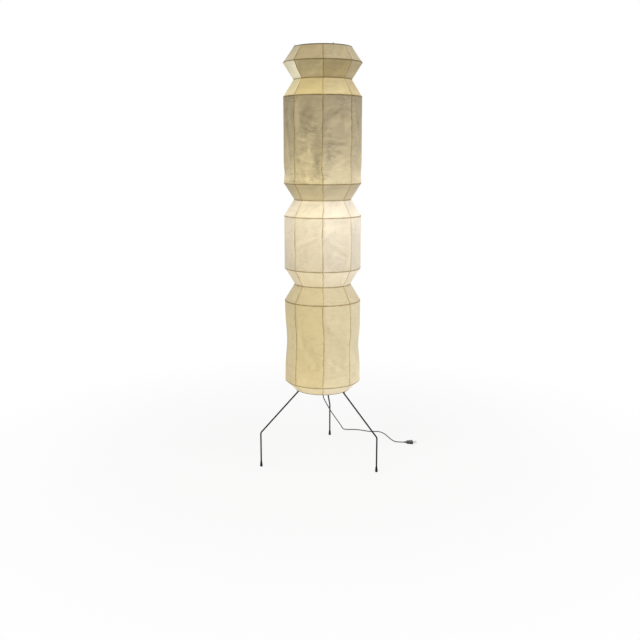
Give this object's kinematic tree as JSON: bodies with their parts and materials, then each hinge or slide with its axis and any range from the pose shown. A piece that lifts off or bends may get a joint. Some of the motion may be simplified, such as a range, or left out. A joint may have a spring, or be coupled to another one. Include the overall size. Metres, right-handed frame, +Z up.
{
  "type": "paper lantern floor lamp",
  "caption": "Tall banded paper lantern on a low three-legged bent iron stand, with a bulb on a post inside and a cord with a plug.",
  "frame": {"origin": "on the floor, at the centre of the circle on which the feet stand, under the lantern's axis", "axes": "+Z up along the lantern's axis; -Y is the front, where a seam faces the viewer; +X is to the viewer's right"},
  "size_m": [0.7716, 0.5825, 1.901],
  "materials": {
    "black_iron": "satin black paint on iron",
    "foot_rubber": "matte moulded rubber",
    "hoop_wire": "thin coated wire",
    "string": "twisted cotton",
    "paper": "crinkled handmade paper, pasted",
    "dark_wire": "dark wire",
    "bright_steel": "plated steel",
    "brass": "brass",
    "black_plastic": "black moulding",
    "ceramic": "glazed white",
    "cap_metal": "rolled aluminium",
    "bulb_glass": "frosted glass, lit from inside",
    "cord_jacket": "dark grey flexible jacket",
    "cord_rubber": "black moulded rubber",
    "clip_plastic": "black nylon",
    "plug_plastic": "dark moulded plug",
    "pin_metal": "nickel plated pins",
    "button_cap": "satin black cap"
  },
  "bodies": {
    "stand": {"bracket_screw": "bright_steel", "bulb_cap": "cap_metal", "bulb_glass": "bulb_glass", "contact_sleeve": "brass", "cord_grip": "cord_rubber", "cup_screws": "bright_steel", "foot_back": "foot_rubber", "foot_left": "foot_rubber", "foot_right": "foot_rubber", "holder_bracket": "black_iron", "holder_insert": "ceramic", "holder_nipple": "brass", "holder_shell": "black_plastic", "hub": "black_iron", "inner_lead": "cord_jacket", "lead_clips": "clip_plastic", "leg_back": "black_iron", "leg_left": "black_iron", "leg_right": "black_iron", "leg_saddles": "black_iron", "leg_screws": "bright_steel", "lower_joiner": "bright_steel", "lower_post": "black_iron", "mains_cord": "cord_jacket", "middle_joiner": "bright_steel", "middle_post": "black_iron", "nipple_nut": "bright_steel", "plug_body": "plug_plastic", "plug_pins": "pin_metal", "post_cap": "bright_steel", "switch_cup": "black_plastic", "switch_module": "black_plastic", "upper_post": "black_iron"},
    "lantern": {"hoop_01": "hoop_wire", "hoop_02": "hoop_wire", "hoop_03": "hoop_wire", "hoop_04": "hoop_wire", "hoop_05": "hoop_wire", "hoop_06": "hoop_wire", "hoop_07": "hoop_wire", "hoop_08": "hoop_wire", "hoop_09": "hoop_wire", "hoop_10": "hoop_wire", "hoop_11": "hoop_wire", "hoop_12": "hoop_wire", "paper_band_01": "paper", "paper_band_02": "paper", "paper_band_03": "paper", "paper_band_04": "paper", "paper_band_05": "paper", "paper_band_06": "paper", "paper_band_07": "paper", "paper_band_08": "paper", "paper_band_09": "paper", "paper_band_10": "paper", "paper_band_11": "paper", "spider_arms": "dark_wire", "spider_boss": "dark_wire", "strings": "string"},
    "switch_button": {"switch_button": "button_cap"}
  },
  "joints": [
    {"name": "shade_lift", "type": "slide", "parent": "stand", "child": "lantern", "axis": [0, 0, 1], "range_m": [0, 1.55]},
    {"name": "switch_press", "type": "slide", "parent": "stand", "child": "switch_button", "axis": [0, 0, 1], "range_m": [0, 0.003], "stiffness_N_per_m": 400, "springref_m": -0.002}
  ]
}
